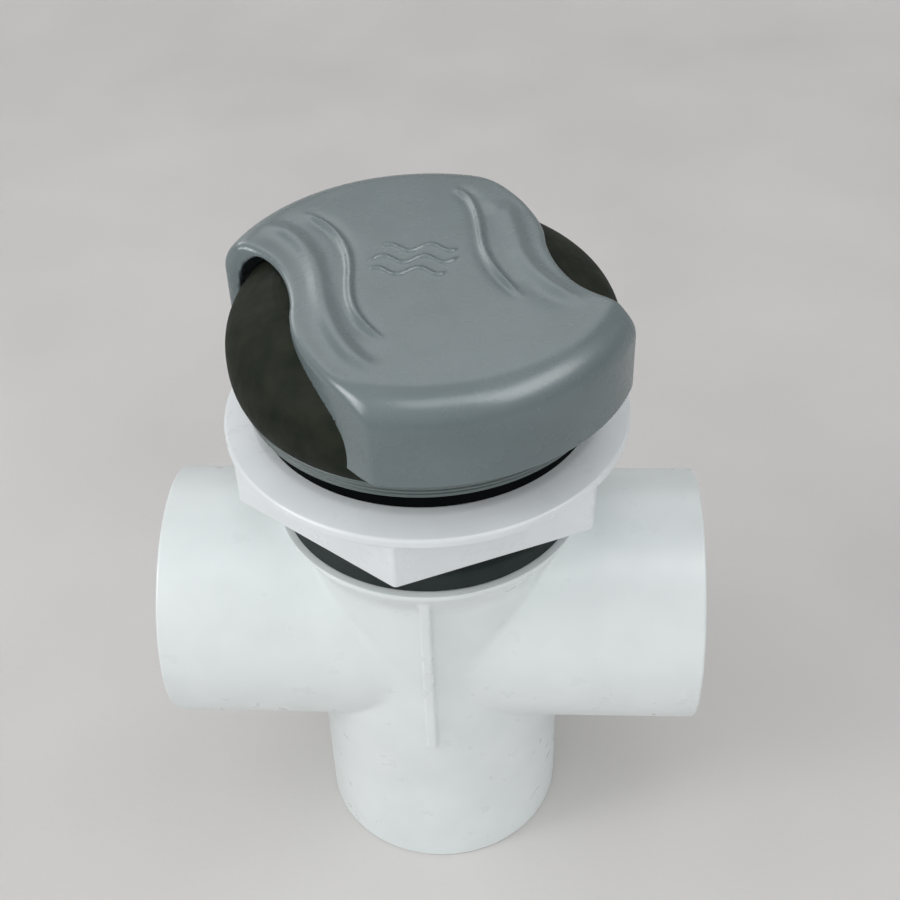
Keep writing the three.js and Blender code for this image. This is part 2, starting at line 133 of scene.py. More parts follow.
def spacing(low, high, coarse, fine, near, widening=0.3):
    """Grid lines from low to high: `fine` apart near the given places, widening to `coarse`."""
    lines = [low]
    while lines[-1] < high - fine / 2:
        gap = min(abs(lines[-1] + fine / 2 - place) for place in near)
        lines.append(lines[-1] + min(max(widening * gap, fine), coarse))
    lines[-1] = high
    return np.array(lines)


# ---------------------------------------------------------------- meshes
class Shell:
    """Points, normals and faces of one mesh, which grows as parts are added."""

    def __init__(self):
        self.points = np.zeros((0, 3))
        self.normals = np.zeros((0, 3))
        self.faces = []

    def add(self, points, normals, faces):
        start = len(self.points)
        self.points = np.vstack([self.points, points])
        self.normals = np.vstack([self.normals, normals])
        self.faces += [tuple(start + i for i in face) for face in faces]
        return start

    def place(self, name, material):
        mesh = bpy.data.meshes.new(name)
        mesh.from_pydata((self.points * MM).tolist(), [], self.faces)
        mesh.polygons.foreach_set("use_smooth", np.ones(len(mesh.polygons), bool))
        mesh.normals_split_custom_set_from_vertices(self.normals.tolist())
        mesh.materials.append(material)
        made = bpy.data.objects.new(name, mesh)
        bpy.context.scene.collection.objects.link(made)
        return made


def unit(v):
    return v / np.maximum(np.linalg.norm(v, axis=-1, keepdims=True), 1e-12)


def grid_normals(rings, closed):
    """Normals of a grid of rings x points whose rings close on themselves."""
    along = np.roll(rings, -1, 1) - np.roll(rings, 1, 1)
    across = np.roll(rings, -1, 0) - np.roll(rings, 1, 0)
    if not closed:
        across[0] = rings[1] - rings[0]
        across[-1] = rings[-1] - rings[-2]
    return unit(np.cross(along, across))


def add_loft(shell, rings, closed=True):
    """Quads between neighbouring rings. Each ring is an array of points round the axis."""
    rings = np.array(rings)
    count, around = rings.shape[:2]
    faces = []
    for i in range(count if closed else count - 1):
        j = (i + 1) % count
        for a in range(around):
            b = (a + 1) % around
            faces.append((i * around + a, i * around + b, j * around + b, j * around + a))
    normals = grid_normals(rings, closed)
    start = shell.add(rings.reshape(-1, 3), normals.reshape(-1, 3), faces)
    first = list(range(start, start + around))
    last = list(range(start + (count - 1) * around, start + count * around))
    return first, last


def rounded(corners, closed=True):
    """A profile of (radius, height, rounding) corners with each corner drawn as an arc."""
    points = []
    count = len(corners)
    for i, (r, z, rounding) in enumerate(corners):
        here = np.array((r, z))
        if rounding == 0 or (not closed and i in (0, count - 1)):
            points.append(here)
            continue
        before = unit(here - np.array(corners[i - 1][:2]))
        after = unit(np.array(corners[(i + 1) % count][:2]) - here)
        turn = math.atan2(before[0] * after[1] - before[1] * after[0], before @ after)
        side = math.copysign(1, turn)
        start = here - rounding * abs(math.tan(turn / 2)) * before
        left = np.array((-before[1], before[0]))
        centre = start + side * rounding * left
        for k in range(ROUNDING_STEPS + 1):
            a = turn * k / ROUNDING_STEPS
            out = np.array((
                -left[0] * math.cos(a) + left[1] * math.sin(a),
                -left[0] * math.sin(a) - left[1] * math.cos(a),
            ))
            points.append(centre + side * rounding * out)
    return points


def circle(r, z, around=AROUND):
    a = np.arange(around) * TURN / around
    return np.stack([r * np.cos(a), r * np.sin(a), np.full(around, z)], 1)


def lathe(corners, around=AROUND):
    """A closed shell turned round Z. Corners run anticlockwise in the plane of radius and height."""
    shell = Shell()
    add_loft(shell, [circle(r, z, around) for r, z in rounded(corners)])
    return shell


def slope(field, points, step=0.02):
    """Value and gradient of a field at points."""
    x, y, z = points.T
    gradient = np.stack([
        field(x + step, y, z) - field(x - step, y, z),
        field(x, y + step, z) - field(x, y - step, z),
        field(x, y, z + step) - field(x, y, z - step),
    ], 1)
    return field(x, y, z), gradient / (2 * step)


def level_set(field, xs, ys, zs, rounds=4):
    """Points, normals and quads of the surface where field is 0.

    The field is negative inside the solid. After the grid gives a first surface, each of the
    `rounds` moves its points along the gradient towards field 0.
    """
    lines = (xs, ys, zs)
    values = field(xs[:, None, None], ys[None, :, None], zs[None, None, :])
    values = np.broadcast_to(values, (len(xs), len(ys), len(zs)))
    cells = tuple(len(line) - 1 for line in lines)
    total = np.zeros(cells + (3,))
    count = np.zeros(cells)
    crossings = []
    for axis in range(3):
        low = np.take(values, range(len(lines[axis]) - 1), axis)
        high = np.take(values, range(1, len(lines[axis])), axis)
        hit = (low < 0) != (high < 0)
        crossings.append((hit, low < 0))
        index = np.argwhere(hit)
        share = low[hit] / (low[hit] - high[hit])
        place = np.stack([lines[k][index[:, k]] for k in range(3)], 1)
        place[:, axis] += share * np.diff(lines[axis])[index[:, axis]]
        b, c = [k for k in range(3) if k != axis]
        for db in (0, 1):
            for dc in (0, 1):
                cell = index.copy()
                cell[:, b] -= db
                cell[:, c] -= dc
                ok = (cell >= 0).all(1) & (cell < np.array(cells)).all(1)
                where = tuple(cell[ok].T)
                np.add.at(total, where, place[ok])
                np.add.at(count, where, 1)
    used = count > 0
    number = np.full(cells, -1)
    number[used] = np.arange(used.sum())
    points = total[used] / count[used][:, None]
    faces = []
    for axis, (hit, leaving) in enumerate(crossings):
        b, c = (axis + 1) % 3, (axis + 2) % 3
        index = np.argwhere(hit)
        inner = (index[:, b] > 0) & (index[:, c] > 0)
        inner &= (index[:, b] < len(lines[b]) - 1) & (index[:, c] < len(lines[c]) - 1)
        index = index[inner]
        outward = leaving[hit][inner]
        ring = []
        for db, dc in ((1, 1), (0, 1), (0, 0), (1, 0)):
            cell = index.copy()
            cell[:, b] -= db
            cell[:, c] -= dc
            ring.append(number[tuple(cell.T)])
        ring = np.stack(ring, 1)
        ring[~outward] = ring[~outward][:, ::-1]
        faces += ring.tolist()
    reach = min(np.median(np.diff(line)) for line in lines)
    for _ in range(rounds):
        value, gradient = slope(field, points)
        size = np.maximum((gradient**2).sum(1), 0.05)
        step = -(value / size)[:, None] * gradient
        length = np.linalg.norm(step, axis=1, keepdims=True)
        points = points + step * np.minimum(1, reach / np.maximum(length, 1e-9))
    normals = unit(slope(field, points)[1])
    return points, normals, faces


def open_loops(faces):
    """Loops of point indices round the openings of a mesh."""
    after = {}
    seen = set()
    for face in faces:
        for a, b in zip(face, face[1:] + face[:1]):
            seen.add((a, b))
    for a, b in seen:
        if (b, a) not in seen:
            after[b] = a
    loops = []
    while after:
        start = next(iter(after))
        loop = [start]
        while after[loop[-1]] != start:
            loop.append(after.pop(loop[-1]))
        after.pop(loop[-1])
        loops.append(loop)
    return loops


def angle_after(angles, i):
    """Angle of the point that follows point i of a loop, or infinity past the loop's end."""
    if i + 1 < len(angles):
        return angles[i + 1]
    return angles[0] + TURN if i < len(angles) else math.inf


def zip_loops(shell, first, second, axis):
    """Triangles between two loops round the same axis, turned to agree with the normals."""
    b, c = (axis + 1) % 3, (axis + 2) % 3

    def by_angle(loop, middle):
        p = shell.points[loop] - middle
        angle = np.arctan2(p[:, c], p[:, b])
        order = np.argsort(angle)
        return [loop[i] for i in order], angle[order]

    middle = shell.points[second].mean(0)
    one, one_angle = by_angle(first, middle)
    two, two_angle = by_angle(second, middle)
    i = j = 0
    while i < len(one) or j < len(two):
        here = one[i % len(one)], two[j % len(two)]
        if angle_after(one_angle, i) < angle_after(two_angle, j):
            face = (here[0], one[(i + 1) % len(one)], here[1])
            i += 1
        else:
            face = (here[0], two[(j + 1) % len(two)], here[1])
            j += 1
        p, q, r = shell.points[list(face)]
        if np.cross(q - p, r - p) @ shell.normals[list(face)].sum(0) < 0:
            face = face[::-1]
        shell.faces.append(face)


# ---------------------------------------------------------------- materials
def node(tree, kind, **settings):
    made = tree.nodes.new(kind)
    for key, value in settings.items():
        if key in made.inputs:
            made.inputs[key].default_value = value
        else:
            setattr(made, key, value)
    return made


NOISE_LOW, NOISE_HIGH = 0.3, 0.7  # the range that most of a noise texture's values lie in
UNEVENNESS = 0.05  # depth of the broad unevenness of a moulded face


def plastic(
    name, dark, light, roughness, grain, grain_depth, mottle=60.0, spread=0.06, **surface
):
    """A moulded surface: two close tones in soft patches, a fine grain in the bump, uneven gloss."""
    material = bpy.data.materials.new(name)
    material.use_nodes = True
    tree = material.node_tree
    shader = tree.nodes["Principled BSDF"]
    for key, value in surface.items():
        shader.inputs[key.replace("_", " ")].default_value = value
    place = node(tree, "ShaderNodeTexCoord").outputs["Object"]

    def noise(scale, detail, rough=0.5):
        made = node(tree, "ShaderNodeTexNoise", Scale=scale, Detail=detail, Roughness=rough)
        tree.links.new(place, made.inputs["Vector"])
        return made.outputs["Fac"]

    tone = node(tree, "ShaderNodeValToRGB")
    tone.color_ramp.elements[0].position = NOISE_LOW
    tone.color_ramp.elements[1].position = NOISE_HIGH
    tone.color_ramp.elements[0].color = (*dark, 1)
    tone.color_ramp.elements[1].color = (*light, 1)
    tree.links.new(noise(mottle, 2.0), tone.inputs["Fac"])
    tree.links.new(tone.outputs["Color"], shader.inputs["Base Color"])

    gloss = node(tree, "ShaderNodeMapRange")
    gloss.inputs["From Min"].default_value = NOISE_LOW
    gloss.inputs["From Max"].default_value = NOISE_HIGH
    gloss.inputs["To Min"].default_value = roughness - spread
    gloss.inputs["To Max"].default_value = roughness + spread
    tree.links.new(noise(mottle * 2.3, 3.0, 0.55), gloss.inputs["Value"])
    tree.links.new(gloss.outputs["Result"], shader.inputs["Roughness"])

    fine = node(tree, "ShaderNodeBump", Strength=1.0, Distance=grain_depth * MM)
    tree.links.new(noise(grain, 3.0), fine.inputs["Height"])
    broad = node(tree, "ShaderNodeBump", Strength=1.0, Distance=UNEVENNESS * MM)
    tree.links.new(noise(mottle * 0.8, 2.0), broad.inputs["Height"])
    tree.links.new(fine.outputs["Normal"], broad.inputs["Normal"])
    tree.links.new(broad.outputs["Normal"], shader.inputs["Normal"])
    return material


def metal(name, dark, light, roughness):
    """Turned metal: fine rings round Z, with light stains."""
    material = plastic(name, dark, light, roughness, 2600.0, 0.006, mottle=140.0, Metallic=1.0)
    tree = material.node_tree
    wave = node(
        tree, "ShaderNodeTexWave", wave_type="RINGS", rings_direction="Z", Scale=900.0, Distortion=0.6
    )
    place = node(tree, "ShaderNodeTexCoord").outputs["Object"]
    tree.links.new(place, wave.inputs["Vector"])
    lines = node(tree, "ShaderNodeBump", Strength=0.5, Distance=0.01 * MM)
    tree.links.new(wave.outputs["Fac"], lines.inputs["Height"])
    shader = tree.nodes["Principled BSDF"]
    before = shader.inputs["Normal"].links[0].from_socket
    tree.links.new(before, lines.inputs["Normal"])
    tree.links.new(lines.outputs["Normal"], shader.inputs["Normal"])
    return material


SOFT = {"Specular_IOR_Level": 0.3}
MATT = {"Specular_IOR_Level": 0.12}
WHITE = plastic("white_pvc", (0.79, 0.84, 0.84), (0.84, 0.89, 0.89), 0.32, 1200.0, 0.006, **SOFT)
NUT_WHITE = plastic("white_nut", (0.79, 0.83, 0.85), (0.84, 0.88, 0.90), 0.3, 1200.0, 0.006, **SOFT)
ROTOR_WHITE = plastic("white_rotor", (0.74, 0.75, 0.74), (0.80, 0.81, 0.80), 0.5, 900.0, 0.03)
COVER_GREY = plastic(
    "cover_abs", (0.142, 0.180, 0.187), (0.158, 0.198, 0.206), 0.27, 1200.0, 0.006, spread=0.02
)
BONNET_GREY = plastic("grey_abs", (0.090, 0.118, 0.118), (0.115, 0.145, 0.145), 0.4, 1200.0, 0.01)
CHARCOAL = plastic(
    "charcoal", (0.015, 0.019, 0.014), (0.027, 0.031, 0.022), 0.55, 1500.0, 0.1, mottle=160.0,
    Specular_IOR_Level=0.03,
)
RUBBER = plastic("rubber", (0.022, 0.030, 0.030), (0.034, 0.044, 0.044), 0.6, 1300.0, 0.05, **MATT)
# Black rubber with painted shade: far darker than the gasket's rubber and with almost no reflection,
# so the seal also stands in for the shadow in the gap under the bonnet.
SHADED_SEAL_RUBBER = plastic(
    "seal_rubber_painted_shade", (0.002, 0.003, 0.003), (0.005, 0.006, 0.007), 0.5, 1300.0, 0.04,
    Specular_IOR_Level=0.01,
)
ACETAL = plastic("acetal", (0.70, 0.67, 0.60), (0.78, 0.75, 0.68), 0.42, 1200.0, 0.02)
STEEL = metal("stainless", (0.50, 0.50, 0.51), (0.62, 0.62, 0.63), 0.28)
BRASS = metal("brass", (0.52, 0.36, 0.12), (0.66, 0.46, 0.18), 0.3)

SLOT_MATERIALS = {
    "white_pvc": WHITE,
    "white_nut": NUT_WHITE,
    "white_rotor": ROTOR_WHITE,
    "cover_abs": COVER_GREY,
    "grey_abs": BONNET_GREY,
    "charcoal_plastic": CHARCOAL,
    "black_rubber": RUBBER,
    "acetal": ACETAL,
    "stainless": STEEL,
    "brass": BRASS,
}
for part in frame["record"]["subparts"]:
    carried = frame["nodes"][part["node"]].data
    carried.materials.clear()
    carried.materials.append(SLOT_MATERIALS[part["material_slot"]])


def finish_piece(shell, name, slot, body, *nodes, material=None):
    piece = shell.place(name, material or SLOT_MATERIALS[slot])
    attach(piece, body)
    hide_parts(*nodes)
    return piece


# ---------------------------------------------------------------- valve body
CORE_HALF = 50.0  # the blended middle of the body ends here along X
CORE_WIDE = 42.0  # its grid ends here along Y
CORE_LOW = 20.0
CORE_HIGH = 116.0
SOCKET_STOP = RUN_HALF - SOCKET_DEPTH
SEAM = 0.6  # gap between the core and a socket's first ring, closed by triangles
MOUTH_WIDE, MOUTH_DEEP = 1.1, 1.4  # lead-in at a socket's mouth


def body_radius(z):
    """Outer radius of the chamber at height z."""
    widening = smooth(TAPER_LOW, TAPER_HIGH, z) * (CHAMBER_OUTER_R - SOCKET_R)
    climb = (z - CONE_Z) / (SHOULDER_Z - CONE_Z)
    return SOCKET_R + widening + soft_max(climb, 0.0, 0.25) * (SHOULDER_R - CHAMBER_OUTER_R)


def body_field(x, y, z):
    radius = np.hypot(x, y)
    across = np.hypot(y, z - RUN_Z)
    outer = soft_min(across - SOCKET_R, radius - body_radius(z), 0.7)
    out = np.abs(y)
    rib_end = RIB_BOTTOM - RIB_END_RISE + (out - RIB_END_R) * RIB_END_SLOPE - z
    rib = soft_max(soft_max(np.abs(x) - RIB_HALF, out - RIB_R, 0.8), rib_end, 1.0)
    rib = soft_max(rib, z - RIB_TOP, 0.8)
    outer = soft_min(outer, rib, 1.0)
    holes = (
        soft_max(radius - BORE_R, z - SOCKET_DEPTH, 0.5),
        radius - FLOOR_PORT_R,
        soft_max(radius - CHAMBER_R, CHAMBER_FLOOR - z, 0.5),
        soft_max(radius - NECK_BORE_R, NECK_STEP_Z - z, 0.5),
        across - SIDE_PORT_R,
        soft_max(across - BORE_R, SOCKET_STOP - np.abs(x), 0.5),
    )
    hole = holes[0]
    for other in holes[1:]:
        hole = np.minimum(hole, other)
    return soft_max(outer, -hole, 0.7)


def socket_end(shell, to_place, length):
    """Outer wall, rounded mouth and bore of one socket, from the core to its end face."""
    corners = [
        (SOCKET_R, CORE_HALF + SEAM, 0),
        (SOCKET_R, CORE_HALF + 8, 0),
        (SOCKET_R, length, 0.8),
        (BORE_R + MOUTH_WIDE, length, 0.25),
        (BORE_R, length - MOUTH_DEEP, 0.5),
        (BORE_R, CORE_HALF + 8, 0),
        (BORE_R, CORE_HALF + SEAM, 0),
    ]
    rings = [circle(r, z) for r, z in rounded(corners, closed=False)]
    return add_loft(shell, [to_place(ring) for ring in rings], closed=False)


def threaded(r, z, depth, fade_low, fade_high):
    """A ring of a helical thread cut `depth` deep into a wall of radius r."""
    ring = circle(r, z)
    angle = np.arctan2(ring[:, 1], ring[:, 0])
    run = smooth(fade_low, fade_low + THREAD_FADE, z)
    run = run * (1 - smooth(fade_high - THREAD_FADE, fade_high, z))
    cut = depth * saw(z / THREAD_PITCH - angle / TURN) * run
    ring[:, :2] *= ((r - cut) / r)[:, None]
    return ring


def neck(shell):
    """Shoulder top, gasket seat, threaded neck and its bore."""
    start = CORE_HIGH + 0.3
    foot = [
        (float(body_radius(start)), start, 0),
        (SHOULDER_R, SHOULDER_Z, 0.3),
        (SHOULDER_R, SEAT_Z, 0.4),
        (NECK_R, SEAT_Z, 0.5),
        (NECK_R, SEAT_Z + 2, 0),
    ]
    rings = [circle(r, z) for r, z in rounded(foot, closed=False)]
    for z in np.arange(SEAT_Z + 2.4, NECK_TOP - 1.2, THREAD_STEP):
        rings.append(threaded(NECK_R, z, THREAD_DEPTH, SEAT_Z + 2, NECK_TOP - 1))
    lip = [
        (NECK_R, NECK_TOP - 1.1, 0),
        (NECK_R, NECK_TOP, 0.6),
        (NECK_BORE_R, NECK_TOP, 0.6),
        (NECK_BORE_R, NECK_TOP - 2, 0),
        (NECK_BORE_R, CORE_HIGH + 8, 0),
        (NECK_BORE_R, CORE_HIGH + 0.5, 0),
    ]
    rings += [circle(r, z) for r, z in rounded(lip, closed=False)]
    return add_loft(shell, rings, closed=False)


def nearest_loop(shell, loops, edge, axis):
    """The loop whose level along the axis and mean radius are closest to the edge's."""
    centre = shell.points[edge].mean(0)
    size = np.linalg.norm(shell.points[edge] - centre, axis=1).mean()

    def mismatch(loop):
        p = shell.points[loop] - centre
        return abs(p[:, axis]).mean() + abs(np.linalg.norm(p, axis=1).mean() - size)

    return min(loops, key=mismatch)


def valve_body():
    shell = Shell()
    x_places = (-SOCKET_STOP, -RIB_HALF, RIB_HALF, SOCKET_STOP)
    y_places = (-RIB_R, RIB_R, -CHAMBER_OUTER_R, CHAMBER_OUTER_R)
    z_places = (SOCKET_DEPTH, CHAMBER_FLOOR, RIB_BOTTOM, NECK_STEP_Z, RIB_TOP)
    xs = spacing(-CORE_HALF, CORE_HALF, 1.0, 0.4, x_places)
    ys = spacing(-CORE_WIDE, CORE_WIDE, 1.0, 0.5, y_places)
    zs = spacing(CORE_LOW, CORE_HIGH, 1.0, 0.5, z_places)
    shell.add(*level_set(body_field, xs, ys, zs))
    loops = open_loops(shell.faces)

    def right(ring):
        return np.stack([ring[:, 2], ring[:, 0], ring[:, 1] + RUN_Z], 1)

    def left(ring):
        return np.stack([-ring[:, 2], -ring[:, 0], ring[:, 1] + RUN_Z], 1)

    def bottom(ring):
        return np.stack([ring[:, 0], -ring[:, 1], CORE_LOW + CORE_HALF - ring[:, 2]], 1)

    ends = [
        (0, socket_end(shell, right, RUN_HALF)),
        (0, socket_end(shell, left, RUN_HALF)),
        (2, socket_end(shell, bottom, CORE_HALF + CORE_LOW)),
        (2, neck(shell)),
    ]
    for axis, edges in ends:
        for edge in edges:
            zip_loops(shell, nearest_loop(shell, loops, edge, axis), edge, axis)
    return shell


finish_piece(valve_body(), "tee_body", "white_pvc", "body", "valve_body")

# ---------------------------------------------------------------- gasket, nut, bonnet and seals
GASKET_R = GASKET_HIGH[0]
GASKET_BORE_R = NECK_R + 0.6
gasket = lathe([
    (GASKET_R, GASKET_LOW[2], 0.5),
    (GASKET_R, GASKET_HIGH[2], 1.2),
    (GASKET_BORE_R, GASKET_HIGH[2], 0.3),
    (GASKET_BORE_R, GASKET_LOW[2], 0.3),
])
finish_piece(gasket, "flat_gasket", "black_rubber", "body", "body_gasket")

NUT_Z, NUT_TOP = NUT_LOW[2], NUT_HIGH[2]
NUT_CORNER_R = 51.6
NUT_TURN = math.radians(-96.2)
NUT_BORE_R = 35.5
TRIM_R = NUT_HIGH[0]
TRIM_Z = NUT_TOP - 3.9
TRIM_EDGE_Z = NUT_TOP - 1.6  # height of the top face at the rim
TRIM_SLOPE_R = 44.5
CORNER_ARC = 1.4
FLAT_STEPS = 20
ARC_STEPS = 5


def hexagon_plan():
    """Points of a hexagon with rounded corners, as angles and radii."""
    points = []
    inner = NUT_CORNER_R - CORNER_ARC / math.cos(math.pi / 6)
    for k in range(6):
        a = NUT_TURN + k * math.pi / 3
        centre = inner * np.array((math.cos(a), math.sin(a)))
        for i in range(ARC_STEPS + 1):
            b = a + (i / ARC_STEPS - 0.5) * math.pi / 3
            points.append(centre + CORNER_ARC * np.array((math.cos(b), math.sin(b))))
        last = points[-1]
        a += math.pi / 3
        centre = inner * np.array((math.cos(a), math.sin(a)))
        b = a - math.pi / 6
        following = centre + CORNER_ARC * np.array((math.cos(b), math.sin(b)))
        for i in range(1, FLAT_STEPS):
            points.append(last + (following - last) * i / FLAT_STEPS)
    return np.array(points)


def mounting_nut():
    plan = hexagon_plan()
    hex_r = np.hypot(plan[:, 0], plan[:, 1])
    way = plan / hex_r[:, None]

    def ring(radius, z):
        r = np.broadcast_to(radius, hex_r.shape)[:, None]
        return np.hstack([way * r, np.full((len(way), 1), z)])

    rings = []
    for r, z in rounded([(-3, NUT_Z, 0), (0, NUT_Z, 0.5), (0, NUT_Z + 3, 0)], closed=False):
        rings.append(ring(hex_r + r, z))
    rings.append(ring(hex_r, TRIM_Z - 1.5))
    fillet = np.minimum(hex_r, TRIM_R - 0.8)
    rings.append(ring(fillet, TRIM_Z - 0.35))
    rings.append(ring(np.minimum(fillet + 0.25, TRIM_R - 0.7), TRIM_Z))
    trim = [
        (TRIM_R - 0.6, TRIM_Z, 0),
        (TRIM_R, TRIM_Z + 0.1, 0.3),
        (TRIM_R, TRIM_EDGE_Z, 1.0),
        (TRIM_SLOPE_R, NUT_TOP, 6.0),
        (NUT_BORE_R, NUT_TOP, 0.5),
        (NUT_BORE_R, NUT_TOP - 2, 0),
    ]
    rings += [ring(r, z) for r, z in rounded(trim, closed=False)]
    angle = np.arctan2(way[:, 1], way[:, 0])
    for z in np.arange(NUT_TOP - 2.4, NUT_Z + 1.2, -THREAD_STEP):
        run = smooth(NUT_Z + 1, NUT_Z + 3, z) * (1 - smooth(NUT_TOP - 4, NUT_TOP - 2, z))
        tooth = THREAD_DEPTH * (1 - saw(z / THREAD_PITCH - angle / TURN)) * run
        rings.append(ring(NUT_BORE_R + tooth, z))
    mouth = [(NUT_BORE_R, NUT_Z + 1.1, 0), (NUT_BORE_R, NUT_Z, 0.6), (NUT_BORE_R + 3, NUT_Z, 0)]
    rings += [ring(r, z) for r, z in rounded(mouth, closed=False)]
    shell = Shell()
    add_loft(shell, rings)
    return shell


finish_piece(mounting_nut(), "shell_nut", "white_nut", "nut", "mounting_nut")

SEAL_R = SEAL_HIGH[0]
SEAL_BORE_R = 31.6
seal = lathe([
    (SEAL_R, SEAL_LOW[2], 0.35),
    (SEAL_R, SEAL_HIGH[2], 0.6),
    (SEAL_BORE_R, SEAL_HIGH[2], 0.3),
    (SEAL_BORE_R, SEAL_LOW[2], 0.3),
])
# The lip seal takes the near-black rubber with painted shade, not its slot's rubber.
finish_piece(seal, "lip_seal", "black_rubber", "body", "bonnet_seal", material=SHADED_SEAL_RUBBER)

BONNET_Z = SEAL_HIGH[2] + 0.3
BONNET_TOP = BONNET_HIGH[2]
FLANGE_LOW_R, FLANGE_HIGH_R = 45.2, BONNET_HIGH[0]
PLUG_R, PLUG_WALL_R, PLUG_Z = 30.8, 26.6, BONNET_LOW[2] + 5
BOSS_R, BOSS_Z = 13.0, BONNET_LOW[2]
ROOF_Z = BONNET_Z - 3
STEM_BORE_R = 8.3
O_RING_R, O_RING_Z = 29.2, 128.5
O_RING_HALF = 1.2  # half width of the O-ring's groove
FLANGE_GROOVES = (0.34, 0.64)  # heights of the flange's two grooves, as shares of its height
GROOVE_HALF = 0.3
GROOVE_DEPTH = 0.45
GROOVE_STEP = 0.15


def bonnet():
    side = [(FLANGE_LOW_R, BONNET_Z, 0.4)]
    rise = BONNET_TOP - BONNET_Z
    for share in FLANGE_GROOVES:
        z = BONNET_Z + rise * share
        r = FLANGE_LOW_R + (FLANGE_HIGH_R - FLANGE_LOW_R) * share
        side += [
            (r, z - GROOVE_HALF, 0.12),
            (r - GROOVE_DEPTH, z, 0.1),
            (r + GROOVE_STEP, z + GROOVE_HALF, 0.12),
        ]
    side.append((FLANGE_HIGH_R, BONNET_TOP, 0.35))
    return lathe([
        (STEM_BORE_R, BOSS_Z, 0.4),
        (BOSS_R, BOSS_Z, 0.4),
        (BOSS_R, ROOF_Z, 1.2),
        (PLUG_WALL_R, ROOF_Z, 1.2),
        (PLUG_WALL_R, PLUG_Z, 0.4),
        (PLUG_R, PLUG_Z, 0.8),
        (PLUG_R, O_RING_Z - O_RING_HALF, 0.2),
        (O_RING_R, O_RING_Z - O_RING_HALF, 0.2),
        (O_RING_R, O_RING_Z + O_RING_HALF, 0.2),
        (PLUG_R, O_RING_Z + O_RING_HALF, 0.2),
        (PLUG_R, BONNET_Z, 0.3),
        *side,
        (STEM_BORE_R, BONNET_TOP, 0.4),
    ])


finish_piece(bonnet(), "grooved_bonnet", "grey_abs", "body", "bonnet")

WEAR_BORE_R = 26.2
wear = lathe([
    (WEAR_HIGH[0], WEAR_LOW[2], 0.3),
    (WEAR_HIGH[0], WEAR_HIGH[2], 0.5),
    (WEAR_BORE_R, WEAR_HIGH[2], 0.5),
    (WEAR_BORE_R, WEAR_LOW[2], 0.5),
])
finish_piece(wear, "slip_ring", "acetal", "body", "wear_ring")

# ---------------------------------------------------------------- rotor and its seal
ROTOR_R = 29.6
GATE_INNER_R = 26.2
GATE_HALF = math.radians(62)
GATE_Z = ROTOR_LOW[2]
DISC_Z = 107.6
DISC_TOP = 111.4
HUB_R = 12.0
HUB_LOW = 96.0
HUB_TOP = ROTOR_HIGH[2]
HEX_FLAT = 7.0
PIN_Z = 102.0
PIN_HOLE_R = 1.8
FOOT_RISE = 3.0
ROTOR_REACH = 30.4  # half width of the rotor's grid
SEAL_FACE_R = 29.8
SEAL_FLOOR_R = 28.4
# The gate seal's midline lies between its outer and inner edges.
SEAL_WIDE = 0.5 * (59.5 + 55) * math.pi / 180 * SEAL_FACE_R
SEAL_TALL = 0.5 * (28 + 25.2)
SEAL_HALF = 1.3
SEAL_CORNER_R = 4.0
SEAL_ROOM = 0.3  # clearance round the gate seal in its groove


def seal_outline(across, height):
    """Distance to the rounded rectangle that the gate seal follows."""
    a = np.abs(across) - SEAL_WIDE + SEAL_CORNER_R
    b = np.abs(height - RUN_Z) - SEAL_TALL + SEAL_CORNER_R
    box = np.hypot(np.maximum(a, 0), np.maximum(b, 0)) + np.minimum(np.maximum(a, b), 0)
    return np.abs(box - SEAL_CORNER_R)


def rotor_field(x, y, z):
    radius = np.hypot(x, y)
    angle = np.arctan2(x, y)
    wall = np.maximum(radius - ROTOR_R, GATE_INNER_R - radius)
    gate = soft_max(wall, (np.abs(angle) - GATE_HALF) * GATE_INNER_R, 1.0)
    gate = soft_max(gate, soft_max(GATE_Z - z, z - DISC_Z - 1, 0.6), 0.6)
    foot = soft_max(wall, np.maximum(GATE_Z - z, z - GATE_Z - FOOT_RISE), 0.8)
    disc = soft_max(radius - ROTOR_R, np.maximum(DISC_Z - z, z - DISC_TOP), 0.8)
    hub = soft_max(radius - HUB_R, np.maximum(HUB_LOW - z, z - HUB_TOP), 0.8)
    solid = soft_min(soft_min(gate, disc, 1.5), soft_min(hub, disc, 1.5), 0.01)
    solid = soft_min(solid, foot, 1.5)
    # A blend swells past its two surfaces, so the foot's underside and wall are cut flat again.
    solid = np.maximum(solid, np.maximum(GATE_Z - z, radius - ROTOR_R))
    drive = np.abs(x)
    for turn in (60, 120):
        c, s = math.cos(math.radians(turn)), math.sin(math.radians(turn))
        drive = np.maximum(drive, np.abs(x * c + y * s))
    solid = soft_max(solid, HEX_FLAT - drive, 0.4)
    solid = soft_max(solid, PIN_HOLE_R - np.hypot(y, z - PIN_Z), 0.4)
    beside = seal_outline(angle * SEAL_FACE_R, z) - SEAL_HALF - SEAL_ROOM
    groove = np.maximum(beside, SEAL_FLOOR_R - SEAL_ROOM - radius)
    return soft_max(solid, -groove, 0.3)


def rotor():
    shell = Shell()
    span = spacing(-ROTOR_REACH, ROTOR_REACH, 1.1, 1.0, (0,))
    levels = (GATE_Z, GATE_Z + FOOT_RISE, HUB_LOW, DISC_Z, DISC_TOP, HUB_TOP)
    zs = spacing(GATE_Z - 1, HUB_TOP + 1, 1.1, 0.5, levels)
    shell.add(*level_set(rotor_field, span, span, zs))
    return shell


